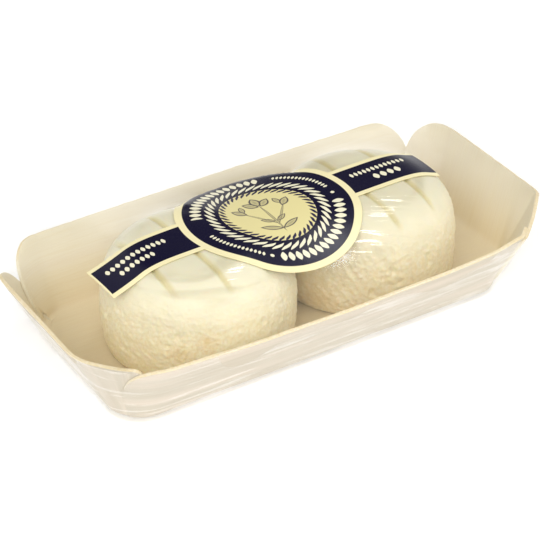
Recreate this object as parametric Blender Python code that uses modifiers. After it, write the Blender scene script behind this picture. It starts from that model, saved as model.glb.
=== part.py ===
"""Two fresh goat cheeses side by side in a pressed poplar tray, wrapped in clear film under a paper label.

Metres, +Z up. The origin is on the ground under the middle of the tray. +X runs along the tray and
the long side that faces the camera is at -Y. The film lies on the ground, the tray stands on the film,
and the cheeses stand on the tray's floor.
"""
import math

import bmesh
import bpy

# Clearance between pieces that touch in the real pack, and the distance at which doubled points merge
GAP = 0.0003
WELD = 0.00001

# Clear shrink film
FILM_THICK = 0.0003
FILM_CLEARANCE = 0.0004
VENT_RADIUS = 0.003

# Pressed veneer tray, measured on its outer face
VENEER = 0.0011
RIM_HALF_LENGTH = 0.0785
RIM_HALF_WIDTH = 0.0422
RIM_FRONT_CORNER = 0.0240
RIM_BACK_CORNER = 0.0190
FLOOR_HALF_LENGTH = 0.0686
FLOOR_HALF_WIDTH = 0.0302
FLOOR_CORNER = 0.0100
TRAY_HEIGHT = 0.0215
CREASE_RADIUS = 0.0040
FRONT_BOW = 0.0020
BACK_BOW = 0.0006
FLAT_CORNER = 0.0988
FLOOR_FLAT_CORNER = 0.0840
FLAT_REMAINS = 0.12
BACK_NOTCH = 0.0070
RIGHT_NOTCH_SHIFT = 0.0040
FLAP_END_RADIUS = 0.0160
CORNER_STEPS = 12
LONG_STEPS = 12
END_STEPS = 6
CREASE_STEPS = 3
WALL_STEPS = 3

# Cheeses, each turned a little in the tray
CHEESE_WAIST = 0.36
FOOT_RATIO = 0.93
CHEESES = {
    "cheese_left": {"place": (-0.0294, -0.0020), "radius": 0.0289, "height": 0.0311},
    "cheese_right": {"place": (0.0283, 0.0005), "radius": 0.0284, "height": 0.0304},
}
CONTENTS_TURN = math.radians(2.5)
TURN_STEPS = 60
DOME_STEPS = 9
SIDE_STEPS = 6
CURD_DEPTH = 0.0008
CURD_SCALE = 0.0045
SMOOTH_ABOVE = 0.86
CURD_FADE = 0.16

# Press marks across the top of each cheese
GROOVE_OFFSETS = (-0.017, -0.003, 0.011)
GROOVE_RADIUS = 0.0010
GROOVE_DEPTH = 0.0008
GROOVE_RISE = 0.00115
GROOVE_REACH = 0.86
GROOVE_POINTS = 9

# Paper label: a round middle with a straight band through it
LABEL_CENTRE = (-0.0040, 0.0004)
LABEL_TURN = math.radians(1.2)
LABEL_LENGTH = 0.1110
LABEL_BAND_WIDTH = 0.0158
LABEL_ROUND_RADIUS = 0.0272
LABEL_THICK = 0.0003
LABEL_LIFT = 0.0004
LABEL_CELL = 0.0026

# Heights that follow from the stack
FILM_INSIDE = FILM_THICK
TRAY_UNDERSIDE = FILM_INSIDE + GAP
FLOOR_TOP = TRAY_UNDERSIDE + VENEER
CHEESE_FOOT = FLOOR_TOP + GAP
RIM_TOP = TRAY_UNDERSIDE + TRAY_HEIGHT
ABOVE_ALL = 0.08

# Heights of the cutters for the vent and the label
VENT_CUT = 0.0012
ROUND_DIE = 0.160
BAND_DIE = 0.144


def clear_scene():
    for thing in list(bpy.data.objects):
        bpy.data.objects.remove(thing, do_unlink=True)


def collection(name):
    group = bpy.data.collections.new(name)
    bpy.context.scene.collection.children.link(group)
    return group


def material(name, colour, roughness, alpha=1.0):
    mat = bpy.data.materials.new(name)
    mat.use_nodes = True
    shader = mat.node_tree.nodes["Principled BSDF"]
    shader.inputs["Base Color"].default_value = (*colour, 1.0)
    shader.inputs["Roughness"].default_value = roughness
    shader.inputs["Metallic"].default_value = 0.0
    shader.inputs["Alpha"].default_value = alpha
    return mat


def mesh_object(name, bm, group, mat=None):
    mesh = bpy.data.meshes.new(name)
    bmesh.ops.recalc_face_normals(bm, faces=bm.faces)
    bm.to_mesh(mesh)
    bm.free()
    thing = bpy.data.objects.new(name, mesh)
    group.objects.link(thing)
    if mat:
        mesh.materials.append(mat)
    return thing


def as_cutter(thing):
    thing.hide_render = True
    thing.display_type = "WIRE"
    return thing


def solidify(thing, thickness, offset):
    shell = thing.modifiers.new("thickness", "SOLIDIFY")
    shell.thickness = thickness
    shell.offset = offset
    shell.use_even_offset = True


def boolean(thing, operation, cutter):
    cut = thing.modifiers.new(operation.lower(), "BOOLEAN")
    cut.operation = operation
    if isinstance(cutter, bpy.types.Collection):
        cut.operand_type = "COLLECTION"
        cut.collection = cutter
    else:
        cut.object = cutter


# Tray

def outline(half_x, half_y, front_corner, back_corner, front_bow=0.0, back_bow=0.0):
    """Plan of a rectangle with round corners and bowed long sides, anticlockwise from the right end."""
    back = (half_x - back_corner, half_y - back_bow - back_corner, back_corner)
    front = (half_x - front_corner, half_y - front_bow - front_corner, front_corner)
    corners = [(1, 1, back), (-1, 1, back), (-1, -1, front), (1, -1, front)]
    points = []
    for number, (side_x, side_y, (across, along, radius)) in enumerate(corners):
        centre_x = side_x * across
        centre_y = side_y * along
        for step in range(CORNER_STEPS + 1):
            turn = math.radians(90.0) * (number + step / CORNER_STEPS)
            points.append((centre_x + radius * math.cos(turn), centre_y + radius * math.sin(turn)))
        after_y, after = corners[(number + 1) % 4][1:]
        if number % 2 == 0:
            bow = back_bow if side_y > 0 else front_bow
            for step in range(1, LONG_STEPS):
                x = centre_x * (1.0 - 2.0 * step / LONG_STEPS)
                points.append((x, side_y * (half_y - bow * (x / across) ** 2)))
        else:
            for step in range(1, END_STEPS):
                part = step / END_STEPS
                points.append((side_x * half_x, centre_y + part * (after_y * after[1] - centre_y)))
    return points


def press_corner(points, limit):
    """Plan with its front right corner pressed almost flat at 45 degrees, beyond a limit of x - y."""
    pressed = []
    for x, y in points:
        back = max(0.0, x - y - limit) * (1.0 - FLAT_REMAINS) / 2.0
        pressed.append((x - back, y + back))
    return pressed


def rim_outline(extra=0.0):
    points = outline(RIM_HALF_LENGTH + extra, RIM_HALF_WIDTH + extra, RIM_FRONT_CORNER + extra,
                     RIM_BACK_CORNER + extra, FRONT_BOW, BACK_BOW)
    return press_corner(points, FLAT_CORNER + extra * math.sqrt(2.0))


def floor_outline(extra=0.0):
    points = outline(FLOOR_HALF_LENGTH + extra, FLOOR_HALF_WIDTH + extra, FLOOR_CORNER + extra, FLOOR_CORNER + extra)
    return press_corner(points, FLOOR_FLAT_CORNER + extra * math.sqrt(2.0))


def notches():
    """Where the rounded flaps meet at the two back corners of the rim, as (x, y)."""
    cut = RIM_BACK_CORNER * (1.0 - math.sqrt(0.5))
    back = RIM_HALF_WIDTH - BACK_BOW - cut
    slide = RIGHT_NOTCH_SHIFT * math.sqrt(0.5)
    return [(RIM_HALF_LENGTH - cut - slide, back + slide), (cut - RIM_HALF_LENGTH, back)]


def notch_drop(distance):
    """How far the rounded ends of two flaps fall below the rim, at a distance along it from their meeting."""
    reach = math.sqrt(FLAP_END_RADIUS ** 2 - (FLAP_END_RADIUS - BACK_NOTCH) ** 2)
    across = max(0.0, reach - distance)
    return FLAP_END_RADIUS - math.sqrt(FLAP_END_RADIUS ** 2 - across ** 2)


def wall_column(floor, rim, drop):
    """Points from the floor's flat edge, round the crease and up the wall to the rim."""
    run = math.dist(floor, rim)
    slope = math.atan2(TRAY_HEIGHT, run)
    out = ((rim[0] - floor[0]) / run, (rim[1] - floor[1]) / run)
    tangent = CREASE_RADIUS * math.tan(slope / 2.0)
    end = (tangent * math.cos(slope), tangent * math.sin(slope))
    steps = []
    for step in range(CREASE_STEPS + 1):
        part = step / CREASE_STEPS
        steps.append((part ** 2 * end[0] - (1 - part) ** 2 * tangent, part ** 2 * end[1]))
    top = ((TRAY_HEIGHT - drop) / math.tan(slope), TRAY_HEIGHT - drop)
    for step in range(1, WALL_STEPS + 1):
        part = step / WALL_STEPS
        steps.append((end[0] + part * (top[0] - end[0]), end[1] + part * (top[1] - end[1])))
    return [(floor[0] + out[0] * across, floor[1] + out[1] * across, TRAY_UNDERSIDE + up) for across, up in steps]


def build_tray(group):
    meetings = notches()
    bm = bmesh.new()
    columns = []
    for floor, rim in zip(floor_outline(), rim_outline()):
        drop = max(notch_drop(math.dist(rim, meeting)) for meeting in meetings)
        columns.append([bm.verts.new(point) for point in wall_column(floor, rim, drop)])
    for index, column in enumerate(columns):
        after = columns[(index + 1) % len(columns)]
        for low in range(len(column) - 1):
            bm.faces.new((column[low], column[low + 1], after[low + 1], after[low]))
    bm.faces.new([column[0] for column in columns])
    tray = mesh_object("tray", bm, group, material("pressed poplar veneer", (0.78, 0.66, 0.45), 0.6))
    if tray.data.polygons[-1].normal.z > 0.0:
        tray.data.flip_normals()
    solidify(tray, VENEER, -1.0)
    return tray


# Cheeses

def dome_height(ratio):
    """Height over the foot, as a share of the whole, at a share of the radius from the axis."""
    return CHEESE_WAIST + (1.0 - CHEESE_WAIST) * max(0.0, 1.0 - ratio ** 5) ** 0.4


def cheese_profile(size, extra=0.0):
    """Half section from the crown down over the shoulder to the foot, as (radius, height)."""
    radius = size["radius"]
    tall = size["height"]
    points = [(0.0, tall + extra)]
    for step in range(1, DOME_STEPS + 1):
        ratio = math.sin(math.radians(90.0) * step / DOME_STEPS) ** 0.4
        points.append((ratio * radius + extra, dome_height(ratio) * tall + extra))
    for step in range(1, SIDE_STEPS + 1):
        down = math.sin(math.radians(90.0) * step / SIDE_STEPS)
        ratio = FOOT_RATIO + (1.0 - FOOT_RATIO) * max(0.0, 1.0 - down ** 3) ** 0.5
        points.append((ratio * radius + extra, CHEESE_WAIST * (1.0 - down) * tall + extra))
    return points


def groove_cutter(name, offset, size, group):
    """Round bar that follows the dome along Y and rises out of it at both ends."""
    reach = math.sqrt((GROOVE_REACH * size["radius"]) ** 2 - offset ** 2)
    route = bpy.data.curves.new(name, "CURVE")
    route.dimensions = "3D"
    route.bevel_depth = GROOVE_RADIUS
    route.bevel_resolution = 2
    route.use_fill_caps = True
    spline = route.splines.new("POLY")
    spline.points.add(GROOVE_POINTS - 1)
    for number, point in enumerate(spline.points):
        part = 2.0 * number / (GROOVE_POINTS - 1) - 1.0
        surface = dome_height(math.hypot(offset, part * reach) / size["radius"]) * size["height"]
        lift = GROOVE_RISE - GROOVE_DEPTH * math.sqrt(1.0 - part ** 2)
        point.co = (offset, part * reach, surface + lift, 1.0)
    bar = bpy.data.objects.new(name, route)
    group.objects.link(bar)
    mesh = bpy.data.meshes.new_from_object(bar.evaluated_get(bpy.context.evaluated_depsgraph_get()))
    bpy.data.objects.remove(bar, do_unlink=True)
    bm = bmesh.new()
    bm.from_mesh(mesh)
    bmesh.ops.remove_doubles(bm, verts=bm.verts, dist=WELD)
    cutter = mesh_object(name, bm, group)
    bpy.data.meshes.remove(mesh)
    return as_cutter(cutter)


def build_cheese(name, size, group, marks, mat):
    """Turned body with a grainy side, pressed by the marks that lie across its top."""
    profile = cheese_profile(size) + [(0.0, 0.0)]
    mesh = bpy.data.meshes.new(name)
    mesh.from_pydata([(r, 0.0, z) for r, z in profile], [(i, i + 1) for i in range(len(profile) - 1)], [])
    mesh.materials.append(mat)
    cheese = bpy.data.objects.new(name, mesh)
    group.objects.link(cheese)
    side = cheese.vertex_groups.new(name="curd side")
    for index, (radius, height) in enumerate(profile[:-2]):
        weight = (SMOOTH_ABOVE - height / size["height"]) / CURD_FADE
        side.add([index], min(1.0, max(0.0, weight)), "REPLACE")
    turned = cheese.modifiers.new("turned", "SCREW")
    turned.steps = TURN_STEPS
    turned.render_steps = TURN_STEPS
    turned.use_merge_vertices = True
    turned.merge_threshold = WELD
    curd = cheese.modifiers.new("curd", "DISPLACE")
    curd.texture = bpy.data.textures.get("curd") or bpy.data.textures.new("curd", "CLOUDS")
    curd.texture.noise_scale = CURD_SCALE
    curd.texture.noise_depth = 1
    curd.strength = CURD_DEPTH
    curd.mid_level = 1.0
    curd.vertex_group = side.name
    boolean(cheese, "DIFFERENCE", marks)
    return cheese


def build_cheeses(group):
    mat = material("fresh goat curd", (0.86, 0.80, 0.60), 0.55)
    for name, size in CHEESES.items():
        marks = collection(name + " press marks")
        pieces = []
        for number, offset in enumerate(GROOVE_OFFSETS):
            pieces.append(groove_cutter(name + "_mark_" + str(number), offset, size, marks))
        pieces.append(build_cheese(name, size, group, marks, mat))
        for piece in pieces:
            piece.location = (*size["place"], CHEESE_FOOT)
            piece.rotation_euler = (0.0, 0.0, CONTENTS_TURN)


# Film

def build_film(group, cutters):
    """Film pulled tight over rim, floor and domes: the convex hull of their outlines."""
    bm = bmesh.new()
    for x, y in rim_outline(FILM_CLEARANCE):
        bm.verts.new((x, y, RIM_TOP + FILM_CLEARANCE))
    for x, y in floor_outline(FILM_CLEARANCE):
        bm.verts.new((x, y, FILM_INSIDE))
    for size in CHEESES.values():
        for radius, height in cheese_profile(size, FILM_CLEARANCE)[1:DOME_STEPS]:
            for step in range(TURN_STEPS):
                turn = math.radians(360.0) * step / TURN_STEPS + CONTENTS_TURN
                x = size["place"][0] + radius * math.cos(turn)
                y = size["place"][1] + radius * math.sin(turn)
                bm.verts.new((x, y, CHEESE_FOOT + height))
    hull = bmesh.ops.convex_hull(bm, input=bm.verts)
    spare = set(hull["geom_interior"]) | set(hull["geom_unused"])
    bmesh.ops.delete(bm, geom=[v for v in spare if isinstance(v, bmesh.types.BMVert)], context="VERTS")
    film = mesh_object("film", bm, group, material("clear shrink film", (0.95, 0.95, 0.95), 0.1, 0.15))
    solidify(film, FILM_THICK, 1.0)
    bpy.ops.mesh.primitive_cylinder_add(vertices=24, radius=VENT_RADIUS, depth=VENT_CUT,
                                        location=(0.0, 0.0, FILM_THICK / 2.0))
    vent = bpy.context.object
    vent.name = "vent"
    move_to(vent, cutters)
    boolean(film, "DIFFERENCE", as_cutter(vent))
    return film


def move_to(thing, group):
    for holder in list(thing.users_collection):
        holder.objects.unlink(thing)
    group.objects.link(thing)


# Label

def build_label(group, cutters, film):
    """Sheet laid down on the film, then trimmed to a round middle with a band."""
    middle = (*LABEL_CENTRE, 0.0)
    bpy.ops.mesh.primitive_cylinder_add(vertices=72, radius=LABEL_ROUND_RADIUS, depth=ROUND_DIE,
                                        location=middle, rotation=(0.0, 0.0, LABEL_TURN))
    die = bpy.context.object
    die.name = "label_die_round"
    bpy.ops.mesh.primitive_cube_add(size=1.0, location=middle, rotation=(0.0, 0.0, LABEL_TURN),
                                    scale=(LABEL_LENGTH, LABEL_BAND_WIDTH, BAND_DIE))
    band = bpy.context.object
    band.name = "label_die_band"
    for cutter in (die, band):
        move_to(cutter, cutters)
        as_cutter(cutter)
    boolean(die, "UNION", band)

    half_length = LABEL_LENGTH / 2.0 + LABEL_CELL
    half_width = LABEL_ROUND_RADIUS + LABEL_CELL
    bm = bmesh.new()
    bmesh.ops.create_grid(bm, x_segments=round(2 * half_length / LABEL_CELL),
                          y_segments=round(2 * half_width / LABEL_CELL), size=1.0)
    bmesh.ops.scale(bm, verts=bm.verts, vec=(half_length, half_width, 1.0))
    label = mesh_object("label", bm, group, material("printed paper", (0.03, 0.03, 0.10), 0.4))
    label.location = (*LABEL_CENTRE, ABOVE_ALL)
    label.rotation_euler = (0.0, 0.0, LABEL_TURN)
    laid = label.modifiers.new("laid on the film", "SHRINKWRAP")
    laid.target = film
    laid.wrap_method = "PROJECT"
    laid.use_project_z = True
    laid.use_positive_direction = False
    laid.use_negative_direction = True
    laid.offset = LABEL_LIFT
    solidify(label, LABEL_THICK, 1.0)
    boolean(label, "INTERSECT", die)
    return label


def main():
    clear_scene()
    parts = collection("goat cheese pack")
    cutters = collection("cutters")
    build_tray(parts)
    build_cheeses(parts)
    film = build_film(parts, cutters)
    build_label(parts, cutters, film)


main()
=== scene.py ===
"""Looks of two fresh goat cheeses in a veneer tray, under clear film and a paper label.

Metres and +Z up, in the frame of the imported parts. The long side of the tray at -Y faces the camera.
"""
import math

import bpy
import numpy as np
from bpy.props import FloatProperty, FloatVectorProperty, PointerProperty, StringProperty
from mathutils import Matrix, Vector, noise


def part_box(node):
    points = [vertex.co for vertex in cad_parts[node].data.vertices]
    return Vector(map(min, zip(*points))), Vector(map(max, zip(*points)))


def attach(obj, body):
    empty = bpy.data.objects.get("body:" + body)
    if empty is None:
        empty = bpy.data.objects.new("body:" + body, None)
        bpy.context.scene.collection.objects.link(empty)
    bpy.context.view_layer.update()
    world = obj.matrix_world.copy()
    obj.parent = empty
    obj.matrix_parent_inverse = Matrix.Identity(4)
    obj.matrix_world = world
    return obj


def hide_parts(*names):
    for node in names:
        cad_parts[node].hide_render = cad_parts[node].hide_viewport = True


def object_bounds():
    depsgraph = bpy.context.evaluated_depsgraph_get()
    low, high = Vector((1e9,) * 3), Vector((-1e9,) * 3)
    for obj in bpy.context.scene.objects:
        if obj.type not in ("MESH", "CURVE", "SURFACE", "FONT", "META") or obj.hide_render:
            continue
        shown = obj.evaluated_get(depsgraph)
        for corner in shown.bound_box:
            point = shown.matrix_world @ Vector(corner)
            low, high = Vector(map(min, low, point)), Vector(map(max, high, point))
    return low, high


bl_info = {
    "name": "Goat cheese pack",
    "version": (1, 0, 0),
    "blender": (4, 5, 0),
    "location": "3D View > Sidebar > Cheese pack",
    "description": "Models a film-wrapped veneer tray with two fresh goat cheeses and a paper label",
    "category": "Mesh",
}

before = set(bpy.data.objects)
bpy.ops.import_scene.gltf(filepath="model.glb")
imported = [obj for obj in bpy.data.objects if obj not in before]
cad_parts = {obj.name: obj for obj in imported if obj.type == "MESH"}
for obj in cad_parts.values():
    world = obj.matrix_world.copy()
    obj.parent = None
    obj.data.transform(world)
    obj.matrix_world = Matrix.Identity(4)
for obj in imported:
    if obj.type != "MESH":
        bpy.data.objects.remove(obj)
cad_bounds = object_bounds()
TRAY_LOW, TRAY_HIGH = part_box("tray")
LEFT_LOW, LEFT_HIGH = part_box("cheese_left")
RIGHT_LOW, RIGHT_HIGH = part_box("cheese_right")
LABEL_LOW, LABEL_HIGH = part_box("label")

MM = 0.001

# Plan of the pressed sheet: the ends at the back are tighter than those at the front
FRONT_CORNER = 24.0 * MM
BACK_CORNER = 19.0 * MM
FLOOR_HALF_LENGTH = 68.6 * MM
FLOOR_HALF_WIDTH = 30.2 * MM
FLOOR_CORNER = 10.0 * MM
FRONT_BOW = 2.0 * MM
BACK_BOW = 0.6 * MM
FLAT_CORNER = 98.8 * MM
FLOOR_FLAT_CORNER = 84.0 * MM
FLAT_REMAINS = 0.12
CREASE_RADIUS = 4.0 * MM

# Where two flaps lap at each corner, from the right back corner anticlockwise: the start of the outer
# flap and the end of the inner one along the rim from the corner's middle, and their tips' radii
LAPS = (
    (1.2 * MM, 6.8 * MM, 16.0 * MM, 16.0 * MM),
    (-2.8 * MM, 2.8 * MM, 16.0 * MM, 16.0 * MM),
    (-1.0 * MM, 7.5 * MM, 12.0 * MM, 4.0 * MM),
    (-11.5 * MM, -7.0 * MM, 0.8 * MM, 0.8 * MM),
)
TUCK = 1.12
TUCK_RUN = 13.0 * MM
TUCK_RISE = 0.45
CREASE_ROWS = 4
WALL_ROWS = 14
COLUMN_STEP = 1.3 * MM
WELD = 0.002 * MM
WORN_EDGE = 0.16 * MM

# Section of a cheese, in shares of its radius and height
WAIST = 0.36
FOOT = 0.93
CHEESE_TURN = math.radians(2.5)
GROOVES = (-17.0 * MM, -3.0 * MM, 11.0 * MM)

# Film and label
FILM_OFF = 0.32 * MM
FILM_GRID = 1.0 * MM
FILM_ROUNDS = 2500
FILM_SEGMENTS = 360
FILM_RINGS = 150
LABEL_TURN = math.radians(1.2)
LABEL_CENTRE = Vector(((LABEL_LOW.x + LABEL_HIGH.x) / 2, (LABEL_LOW.y + LABEL_HIGH.y) / 2, 0.0))
# The stiff label's far border sags between the crowns: where it lies from the label's middle, how high it
# is halfway and how much higher over each cheese, and how steeply it is turned down outward
ARC_REACH = 24.4 * MM
ARC_INSIDE = 0.8 * MM
ARC_OUTSIDE = 4.0 * MM
ARC_HEIGHT = 28.8 * MM
ARC_RISE = (4.0 * MM, 2.6 * MM)
ARC_SPAN = 18.5 * MM
ARC_START = 0.62
ARC_FALL = 1.0

# Veneer: length and width of its fibres and growth bands, and the heights between which painted shade on the
# inside grows, strongest at the floor
FIBRE = (22.0 * MM, 0.5 * MM)
BAND = (90.0 * MM, 5.0 * MM)
SHADED_HEIGHTS = (21.0 * MM, 3.0 * MM)
SHADE_DRIFT = 4.0 * MM

# Curd: size of its mottling and grains, how ragged a whey spot is, and where the press marks run out
MOTTLE = 7.0 * MM
GRAIN = 1.0 * MM
WHEY_RAGGED = 5.0 * MM
MARK_EDGES = (1.3 * MM, 0.4 * MM)
MARK_ENDS = (24.2 * MM, 21.0 * MM)
# Dried whey spots on each cheese, from the middle of its foot, and their sizes
LEFT_WHEYS = (
    ((-17.7 * MM, -22.3 * MM, 11.3 * MM), 5.0 * MM),
    ((-11.3 * MM, -26.0 * MM, 15.8 * MM), 4.0 * MM),
)
RIGHT_WHEYS = (((-24.3 * MM, -14.8 * MM, 5.3 * MM), 7.0 * MM),)


# Colours and nodes

def colour(code):
    """Linear colour of an sRGB hex value."""
    values = [int(code[at:at + 2], 16) / 255.0 for at in (1, 3, 5)]
    return (*(v / 12.92 if v <= 0.04045 else ((v + 0.055) / 1.055) ** 2.4 for v in values), 1.0)


# Settings of a Mix node between two colours: its inputs are 0 for the share, and 6 and 7 for the colours
TWO_COLOURS = {"data_type": "RGBA", "out": 2}


def add(tree, kind, inputs=(), stops=(), out=0, **settings):
    """Adds a node with its settings, its ramp stops, and a value or a link for each input.

    A second word in kind is the node's operation. Inputs are given in order or by name. Those of a MapRange
    are the value, the two ends it comes from and the two it goes to. Returns one output, if there is any.
    """
    kind, _, operation = kind.partition(" ")
    node = tree.nodes.new("ShaderNode" + kind)
    if operation:
        node.operation = operation
    for name, value in settings.items():
        setattr(node, name, value)
    for number, (place, code) in enumerate(stops):
        ramp = node.color_ramp.elements
        stop = ramp[number] if number < 2 else ramp.new(place)
        stop.position = place
        stop.color = colour(code)
    for name, value in inputs.items() if isinstance(inputs, dict) else enumerate(inputs):
        if isinstance(value, bpy.types.NodeSocket):
            tree.links.new(value, node.inputs[name])
        else:
            node.inputs[name].default_value = value
    return node.outputs[out] if node.outputs else None


def new_material(name):
    """Empty node material and its tree."""
    mat = bpy.data.materials.new(name)
    mat.use_nodes = True
    mat.node_tree.nodes.clear()
    return mat, mat.node_tree


# Modelling steps

def deselect():
    if bpy.context.object and bpy.context.object.mode != "OBJECT":
        bpy.ops.object.mode_set(mode="OBJECT")
    bpy.ops.object.select_all(action="DESELECT")


def finished(thing, name, slot, *nodes):
    """Names a piece, makes its place part of its mesh and lets it stand for its CAD nodes."""
    thing.name = name
    thing.data.name = name
    bpy.ops.object.select_all(action="DESELECT")
    thing.select_set(True)
    bpy.context.view_layer.objects.active = thing
    bpy.ops.object.transform_apply(location=True, rotation=True, scale=True)
    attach(thing, "root")
    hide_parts(*nodes)
    return thing


def modify(thing, kind, **settings):
    """Adds a modifier with its settings and makes what it does part of the mesh."""
    bpy.context.view_layer.objects.active = thing
    change = thing.modifiers.new(kind.lower(), kind)
    for name, value in settings.items():
        setattr(change, name, value)
    bpy.ops.object.modifier_apply(modifier=change.name)


def read_points(thing):
    points = np.empty(len(thing.data.vertices) * 3)
    thing.data.vertices.foreach_get("co", points)
    return points.reshape(-1, 3)


def write_points(thing, points):
    thing.data.vertices.foreach_set("co", np.asarray(points, float).ravel())
    thing.data.update()


# Tray

def rounded_plan(half_x, half_y, front_corner, back_corner, front_bow, back_bow, step=40):
    """Dense plan of a round-cornered, bowed rectangle, anticlockwise from the right end at the back."""
    points = []
    ends = [(1, 1, back_corner, half_y - back_bow), (-1, 1, back_corner, half_y - back_bow),
            (-1, -1, front_corner, half_y - front_bow), (1, -1, front_corner, half_y - front_bow)]
    for number, (side_x, side_y, radius, reach_y) in enumerate(ends):
        centre_x = side_x * (half_x - radius)
        centre_y = side_y * (reach_y - radius)
        for part in range(step):
            turn = math.radians(90.0) * (number + part / step)
            points.append((centre_x + radius * math.cos(turn), centre_y + radius * math.sin(turn)))
        next_radius, next_y = ends[(number + 1) % 4][2:]
        for part in range(step):
            share = part / step
            if number % 2 == 0:
                across = half_x - radius
                x = centre_x * (1.0 - 2.0 * share)
                bow = half_y - reach_y
                points.append((x, side_y * (half_y - bow * (x / across) ** 2)))
            else:
                other_y = -side_y * (next_y - next_radius)
                points.append((side_x * half_x, centre_y + share * (other_y - centre_y)))
    return np.array(points)


class Walls:
    """The tray's walls as a surface over the length along the rim and the height."""

    def __init__(self, sizes):
        self.sizes = sizes
        self.height = sizes.height
        self.low = TRAY_LOW.z
        half_x, half_y = sizes.length / 2.0, sizes.width / 2.0
        rim = rounded_plan(half_x, half_y, FRONT_CORNER, BACK_CORNER, FRONT_BOW, BACK_BOW)
        floor = rounded_plan(FLOOR_HALF_LENGTH, FLOOR_HALF_WIDTH, FLOOR_CORNER, FLOOR_CORNER, 0.0, 0.0)
        for plan, limit in ((rim, FLAT_CORNER), (floor, FLOOR_FLAT_CORNER)):
            over = np.maximum(0.0, plan[:, 0] - plan[:, 1] - limit) * (1.0 - FLAT_REMAINS) / 2.0
            plan += np.column_stack((-over, over))
        self.rim = np.vstack((rim, rim[:1]))
        self.floor = np.vstack((floor, floor[:1]))
        steps = np.hypot(*np.diff(self.rim, axis=0).T)
        self.along = np.concatenate(((0.0,), np.cumsum(steps)))
        self.girth = self.along[-1]
        quarter = len(rim) // 4
        self.corners = [self.along[number * quarter + quarter // 4] for number in range(4)]

    def rim_drop(self, along):
        """How far the sheet's top lies below the rim where the rounded ends of two flaps lap."""
        deepest = 0.0
        for corner, (start, end, start_radius, end_radius) in zip(self.corners, LAPS):
            away = (along - corner + self.girth / 2.0) % self.girth - self.girth / 2.0
            outer = tip_drop(away - start, start_radius) if away >= start else self.height
            inner = tip_drop(end - away, end_radius) if away <= end else self.height
            deepest = max(deepest, min(outer, inner))
        return deepest

    def outline(self, turns, table, off):
        """Outline points in the columns that meet the rim in given directions, moved outward."""
        count = len(table) - 1
        middles = np.unwrap(np.arctan2(self.rim[:, 1], self.rim[:, 0]))
        turns = np.mod(turns - middles[0], 2.0 * math.pi) + middles[0]
        places = np.interp(turns, middles, np.arange(count + 1))
        step = np.roll(table[:-1], -1, axis=0) - np.roll(table[:-1], 1, axis=0)
        out = np.column_stack((step[:, 1], -step[:, 0])) / np.hypot(*step.T)[:, None]
        moved = table + off * np.vstack((out, out[:1]))
        return np.column_stack([np.interp(places, np.arange(count + 1), moved[:, axis]) for axis in (0, 1)])

    def plan(self, along, table):
        """Point of an outline at a length along the rim."""
        along = np.mod(along, self.girth)
        return Vector((*(np.interp(along, self.along, table[:, axis]) for axis in (0, 1)), 0.0))

    def point(self, along, height):
        """Point on the outside, where height is measured along the fold and up the wall, from 0 to 1."""
        floor, rim = self.plan(along, self.floor), self.plan(along, self.rim)
        run = (rim - floor).length
        out = (rim - floor) / run
        slope = math.atan2(self.height, run)
        tangent = CREASE_RADIUS * math.tan(slope / 2.0)
        crease = CREASE_ROWS / (CREASE_ROWS + WALL_ROWS)
        end = (tangent * math.cos(slope), tangent * math.sin(slope))
        if height < crease:
            part = height / crease
            across, up = part ** 2 * end[0] - (1.0 - part) ** 2 * tangent, part ** 2 * end[1]
        else:
            part = (height - crease) / (1.0 - crease)
            across, up = end[0] + part * (run - end[0]), end[1] + part * (self.height - end[1])
        normal = out * math.sin(slope) - Vector((0.0, 0.0, math.cos(slope)))
        return floor + out * across + Vector((0.0, 0.0, self.low + up)), normal


def tip_drop(from_tip, radius):
    """How far a flap's rounded end lies below its rim, at a distance from its tip."""
    across = radius - min(radius, max(0.0, from_tip))
    return radius - math.sqrt(radius ** 2 - across ** 2)


def flap_columns(start, joined, end):
    """Places along a flap, closer together at its round tips, with one where its fold stops."""
    tips = [0.0, 0.08, 0.3, 0.7, 1.2, 1.9, 2.8, 3.9]
    places = [start + tip * MM for tip in tips] + [end - tip * MM for tip in tips] + [joined]
    count = round((end - start) / COLUMN_STEP)
    inner = [start + (end - start) * part / count for part in range(count + 1)]
    places += [place for place in inner if min(abs(place - known) for known in places) > 0.5 * COLUMN_STEP]
    return sorted(set(round(place, 7) for place in places))


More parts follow.
